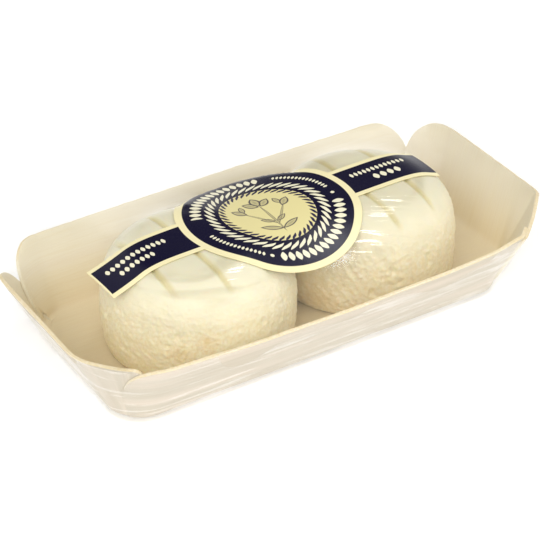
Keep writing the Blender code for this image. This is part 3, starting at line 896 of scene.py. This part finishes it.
def label_material(sizes):
    """Coated offset paper: deep navy fields with cream borders, a ring of petals and a sprig of clover."""
    mat, tree = new_material("coated offset-printed paper")
    ink = Print(tree)
    band = ink.join("MULTIPLY", ink.between(ink.v, -6.3, 6.3), ink.inverse(ink.edge(ink.radius, 27.0)),
                    ink.between(ink.u, -55.0, 60.0))
    sun = ink.edge(ink.radius, 14.2)
    ring = ink.join("MULTIPLY", ink.edge(ink.radius, 24.9), ink.inverse(sun))

    arc = add(tree, "Math MULTIPLY", (ink.turn, RING))
    light = [ink.row(arc, ink.radius, math.radians(start) * RING, math.radians(end) * RING, *sizes_of_row)
             for start, end, *sizes_of_row in RING_ROWS]
    light += [ink.row(ink.u, ink.v, *row) for row in BAND_ROWS]
    for turn in map(math.radians, BEAD_TURNS):
        light.append(ink.dot((BEAD_REACH * math.cos(turn), BEAD_REACH * math.sin(turn)), 0.6))
    spread = add(tree, "Math ADD", (ink.turn, add(tree, "Math MULTIPLY", (ink.radius, 0.075))))
    leaves = []
    for reach, *halves in (LIGHT_LEAVES, DARK_LEAVES):
        along = add(tree, "Math MULTIPLY", (spread, reach))
        leaves.append(ink.row(along, ink.radius, -200.0, 200.0, reach * 2.0 * math.pi / LEAVES, *halves, 1.3))
    sprig = [ink.petal((side * x, y), math.radians(90 + side * (turn - 90)), *halves)
             for x, y, turn, *halves in SPRIG for side in ((1, -1) if x else (1,))]
    drawing = add(tree, "Math MULTIPLY", (ink.join("MAXIMUM", *sprig), 0.9))

    printed = colour(sizes.border_code)
    for mask, code in ((sun, sizes.disc_code), (ink.join("MAXIMUM", band, ring), sizes.navy_code),
                       (ink.join("MAXIMUM", leaves[0], *light), sizes.figure_code),
                       (ink.join("MAXIMUM", leaves[1], drawing), sizes.drawing_code)):
        printed = add(tree, "Mix", {0: mask, 6: printed, 7: colour(code)}, **TWO_COLOURS)
    place = add(tree, "TexCoord", out="Object")
    cockle = add(tree, "TexNoise", {"Vector": place, "Scale": 1 / (9 * MM), "Detail": 1.0})
    relief = add(tree, "Bump", {"Height": cockle, "Strength": 0.4, "Distance": 0.3 * MM})
    shader = add(tree, "BsdfPrincipled", {
        "Base Color": printed, "Roughness": 0.26, "IOR": 1.5, "Specular IOR Level": 0.28, "Normal": relief})
    add(tree, "OutputMaterial", (shader,))
    return mat


# Stage

SWEEP_RADIUS = 0.45
SWEEP_STEPS = 8
SWEEP_TURN = math.radians(65.0)
# Dark flag in the light all round: where it stands, the angles at which it starts and is whole, its strength
FLAG = Vector((0.36, 0.70, 0.62))
FLAG_ANGLES = (math.radians(29), math.radians(15))
FLAG_STRENGTH = 0.14


def place_light(name, spot, size, power):
    """Square soft white light that faces the pack."""
    bpy.ops.object.light_add(type="AREA", location=spot)
    light = bpy.context.object
    light.name = name
    light.rotation_euler = (Vector((0.0, 0.0, 0.01)) - Vector(spot)).to_track_quat("-Z", "Y").to_euler()
    light.data.shape = "SQUARE"
    light.data.size = size
    light.data.energy = power


def place_camera(sizes):
    """Camera at the angle and distance that the photograph's outlines give."""
    turn, rise, roll = sizes.azimuth, sizes.elevation, sizes.roll
    back = Vector((math.sin(turn) * math.cos(rise), -math.cos(turn) * math.cos(rise), math.sin(rise)))
    right = (-back).cross(Vector((0.0, 0.0, 1.0))).normalized()
    up = right.cross(-back)
    across = math.cos(roll) * right + math.sin(roll) * up
    along = math.cos(roll) * up - math.sin(roll) * right
    bpy.ops.object.camera_add()
    camera = bpy.context.object
    spot = Vector(sizes.target) + back * sizes.distance
    camera.matrix_world = Matrix((*zip(across, along, back, spot), (0.0, 0.0, 0.0, 1.0)))
    camera.data.lens = sizes.lens
    camera.data.sensor_width = 36.0
    camera.data.clip_start = 0.01
    bpy.context.scene.camera = camera


def floor_material(sizes):
    """White satin paper sweep, a little self-lit so that its shade stays as faint as under tent light."""
    mat, tree = new_material("white satin paper")
    place = add(tree, "TexCoord", out="Object")
    tooth = add(tree, "TexNoise", {"Vector": place, "Scale": 1 / (0.6 * MM), "Detail": 2.0})
    relief = add(tree, "Bump", {"Height": tooth, "Strength": 0.05, "Distance": 0.05 * MM})
    shader = add(tree, "BsdfPrincipled", {
        "Base Color": colour("#f4f4f4"), "Roughness": 0.8, "Specular IOR Level": 0.1,
        "Emission Color": colour("#ffffff"), "Emission Strength": sizes.glow, "Normal": relief})
    add(tree, "OutputMaterial", (shader,))
    return mat


def model_floor(sizes):
    """Flat round floor whose border is drawn out and up into a low sweep."""
    deselect()
    bpy.ops.mesh.primitive_circle_add(vertices=96, radius=sizes.floor_radius, fill_type="NGON")
    floor = bpy.context.object
    bpy.ops.object.mode_set(mode="EDIT")
    bpy.ops.mesh.select_mode(type="EDGE")
    bpy.ops.mesh.select_all(action="SELECT")
    radius = sizes.floor_radius
    for step in range(1, SWEEP_STEPS + 1):
        turn = SWEEP_TURN * step / SWEEP_STEPS
        wider = sizes.floor_radius + SWEEP_RADIUS * math.sin(turn)
        rise = SWEEP_RADIUS * (math.cos(turn - SWEEP_TURN / SWEEP_STEPS) - math.cos(turn))
        if step == 1:
            bpy.ops.mesh.region_to_loop()
        bpy.ops.mesh.extrude_edges_move(TRANSFORM_OT_translate={"value": (0.0, 0.0, rise)})
        bpy.ops.transform.resize(value=(wider / radius, wider / radius, 1.0))
        radius = wider
    bpy.ops.object.mode_set(mode="OBJECT")
    bpy.ops.object.shade_smooth_by_angle(angle=math.radians(30.0))
    floor.data.materials.append(floor_material(sizes))
    floor.name = "floor"


def model_stage(sizes):
    """Floor, light all round with a dark flag in it, three soft lights and the camera."""
    model_floor(sizes)
    world = bpy.data.worlds.new("studio")
    bpy.context.scene.world = world
    world.use_nodes = True
    tree = world.node_tree
    direction = add(tree, "TexCoord", out="Generated")
    toward = add(tree, "VectorMath DOT_PRODUCT", (direction, FLAG.normalized()), out="Value")
    shade = add(tree, "MapRange", (toward, *map(math.cos, FLAG_ANGLES), sizes.ambient, FLAG_STRENGTH),
                interpolation_type="SMOOTHSTEP")
    ambient = tree.nodes["Background"].inputs
    ambient["Color"].default_value = colour("#fbfaf8")
    tree.links.new(shade, ambient["Strength"])
    place_light("key", (-0.58, -0.58, 0.66), 0.7, sizes.key)
    place_light("top", (0.37, 0.335, 0.72), 0.12, sizes.top)
    place_light("fill", (0.70, -0.60, 0.45), 0.8, sizes.fill)
    place_camera(sizes)
    bpy.context.scene.view_settings.view_transform = "Standard"


# Add-on

def length(name, description, default, precision=4):
    """Property that holds a length in metres."""
    return FloatProperty(name=name, description=description, default=default, unit="LENGTH",
                         precision=precision)


def angle(name, description, degrees):
    """Property that holds an angle."""
    return FloatProperty(name=name, description=description, default=math.radians(degrees), subtype="ANGLE")


def hex_code(name, description, default):
    """Property that holds a colour."""
    return StringProperty(name=name, description=description + ", as sRGB hex", default=default)


class TrayProperties(bpy.types.PropertyGroup):
    length: length("Length", "Length over the rim", TRAY_HIGH.x - TRAY_LOW.x)
    width: length("Width", "Width over the rim", TRAY_HIGH.y - TRAY_LOW.y)
    height: length("Height", "Height from underside to rim", 21.5 * MM)
    veneer: length("Veneer", "Thickness of the veneer", 1.0 * MM)
    fray: length("Fray", "Unevenness of the cut rim", 0.12 * MM, 5)
    wave: length("Wave", "Slow waviness of the walls", 0.22 * MM, 5)
    # The outside colours are painted shade: a darker copy of the inside's
    shaded_outside_code: hex_code("Outside", "Colour of the veneer's outside", "#ccc4b4")
    shaded_outside_streak_code: hex_code("Outside streaks", "Colour of the outside's darker fibres", "#c5baa7")
    inner_code: hex_code("Inside", "Colour of the veneer's inside", "#eee7d2")
    inner_streak_code: hex_code("Inside streaks", "Colour of the inside's darker fibres", "#ebe2c9")
    # Painted shade on the inside, towards the floor
    painted_shade_code: hex_code("Painted shade inside", "Painted shade towards the floor inside", "#f9f1e1")
    pink_code: hex_code("Bands", "Colour of the pinkish bands", "#e6d8ca")
    edge_code: hex_code("Cut edge", "Colour of the cut edge", "#eddfc0")


class CheeseProperties(bpy.types.PropertyGroup):
    # Painted light and shade: crown darker, side and foot lighter than the curd
    crown_shaded_code: hex_code("Crown", "Colour of the smooth crown", "#ebe6ce")
    side_lit_code: hex_code("Side", "Colour of the grainy side", "#fff7de")
    foot_lit_code: hex_code("Foot", "Colour near the foot", "#fff3d8")
    # Painted shade in the grain's hollows
    painted_shade_code: hex_code("Shade in the grain", "Colour between the grains", "#f2e1b4")
    whey_code: hex_code("Whey spots", "Colour of the dried whey spots", "#d9b25e")
    # Painted shade in the press marks
    groove_shade_code: hex_code("Grooves", "Colour in the press marks", "#dccf98")
    left_code: hex_code("Left ripeness", "Tint of the whole left cheese", "#fdfcf8")
    right_code: hex_code("Right ripeness", "Tint of the whole right cheese", "#f8f6f0")
    slump: FloatProperty(name="Slump", description="How far the side bulges, in millimetres", default=0.5)


class LabelProperties(bpy.types.PropertyGroup):
    length: length("Length", "Length of the band", 111.0 * MM)
    band: length("Band width", "Width of the band", 15.8 * MM)
    radius: length("Round radius", "Radius of the round middle", 27.2 * MM)
    paper: length("Paper", "Thickness of the paper", 0.12 * MM, 5)
    cell: length("Cell", "Spacing of the sheet's points", 1.2 * MM)
    navy_code: hex_code("Field", "Colour of the dark fields", "#0a0628")
    border_code: hex_code("Border", "Colour of the paper's border", "#f1e7b8")
    disc_code: hex_code("Disc", "Colour of the pale disc", "#e2d79c")
    figure_code: hex_code("Figures", "Colour of the light figures", "#eee9cc")
    drawing_code: hex_code("Drawing", "Colour of the drawn lines", "#2c2744")


class StageProperties(bpy.types.PropertyGroup):
    target: FloatVectorProperty(name="Target", description="Point the camera looks at", size=3,
                                subtype="TRANSLATION", default=(-6.7 * MM, -4.6 * MM, 16.05 * MM))
    distance: length("Distance", "Distance of the camera", 641.6 * MM)
    azimuth: angle("Azimuth", "Camera turned about +Z from -Y", -30.52)
    elevation: angle("Elevation", "Camera above the floor", 33.72)
    roll: angle("Roll", "Camera turned about its own axis", -1.36)
    lens: FloatProperty(name="Lens", description="Focal length in millimetres", default=147.35)
    floor_radius: length("Floor radius", "Radius of the floor", 1.2)
    glow: FloatProperty(name="Glow", description="Light given by the floor itself", default=0.22)
    ambient: FloatProperty(name="Ambient", description="Strength of the light all round", default=0.74)
    key: FloatProperty(name="Key", description="Power of the key light in watts", default=5.6)
    top: FloatProperty(name="Top", description="Power of the top light in watts", default=0.5)
    fill: FloatProperty(name="Fill", description="Power of the fill light in watts", default=3.3)


class CHEESEPACK_OT_tray(bpy.types.Operator):
    """Model the folded veneer tray"""
    bl_idname = "cheesepack.tray"
    bl_label = "Veneer tray"

    def execute(self, context):
        model_tray(context.scene.cheesepack_tray)
        return {"FINISHED"}


class CHEESEPACK_OT_cheeses(bpy.types.Operator):
    """Model the two goat cheeses"""
    bl_idname = "cheesepack.cheeses"
    bl_label = "Goat cheeses"

    def execute(self, context):
        sizes = context.scene.cheesepack_cheeses
        for name, low, high, relief, tone, wheys in (
                ("cheese_left", LEFT_LOW, LEFT_HIGH, relief_left, sizes.left_code, LEFT_WHEYS),
                ("cheese_right", RIGHT_LOW, RIGHT_HIGH, relief_right, sizes.right_code, RIGHT_WHEYS)):
            centre = ((low.x + high.x) / 2.0, (low.y + high.y) / 2.0)
            tall = high.z - low.z
            mat = curd_material("fresh goat curd of " + name, sizes, centre, low.z, tall, wheys, tone)
            model_cheese(name, low, high, low.z, relief, sizes.slump, mat)
        return {"FINISHED"}


class CHEESEPACK_OT_film(bpy.types.Operator):
    """Model the film and the label that lies on it"""
    bl_idname = "cheesepack.film"
    bl_label = "Film and label"

    def execute(self, context):
        walls = Walls(context.scene.cheesepack_tray)
        membrane = Membrane(walls, context.scene.cheesepack_tray)
        model_film(membrane, walls)
        model_label(membrane, context.scene.cheesepack_label)
        return {"FINISHED"}


class CHEESEPACK_OT_stage(bpy.types.Operator):
    """Build the floor, the lights and the camera"""
    bl_idname = "cheesepack.stage"
    bl_label = "Stage"

    def execute(self, context):
        model_stage(context.scene.cheesepack_stage)
        return {"FINISHED"}


class CHEESEPACK_PT_panel(bpy.types.Panel):
    """Lists the pieces of the pack"""
    bl_label = "Cheese pack"
    bl_idname = "CHEESEPACK_PT_panel"
    bl_space_type = "VIEW_3D"
    bl_region_type = "UI"
    bl_category = "Cheese pack"

    def draw(self, context):
        for operator in OPERATORS:
            self.layout.operator(operator.bl_idname)
        for name in GROUPS:
            group = getattr(context.scene, name)
            box = self.layout.box()
            for prop in group.bl_rna.properties:
                if prop.identifier not in ("rna_type", "name"):
                    box.prop(group, prop.identifier)


OPERATORS = (CHEESEPACK_OT_tray, CHEESEPACK_OT_cheeses, CHEESEPACK_OT_film, CHEESEPACK_OT_stage)
GROUPS = {
    "cheesepack_tray": TrayProperties,
    "cheesepack_cheeses": CheeseProperties,
    "cheesepack_label": LabelProperties,
    "cheesepack_stage": StageProperties,
}


def register():
    for cls in (*GROUPS.values(), *OPERATORS, CHEESEPACK_PT_panel):
        bpy.utils.register_class(cls)
    for name, group in GROUPS.items():
        setattr(bpy.types.Scene, name, PointerProperty(type=group))


def unregister():
    for name in GROUPS:
        delattr(bpy.types.Scene, name)
    for cls in (CHEESEPACK_PT_panel, *reversed(OPERATORS), *GROUPS.values()):
        bpy.utils.unregister_class(cls)


def main():
    register()
    bpy.ops.cheesepack.tray()
    bpy.ops.cheesepack.cheeses()
    bpy.ops.cheesepack.film()
    bpy.ops.cheesepack.stage()


if __name__ == "__main__":
    main()
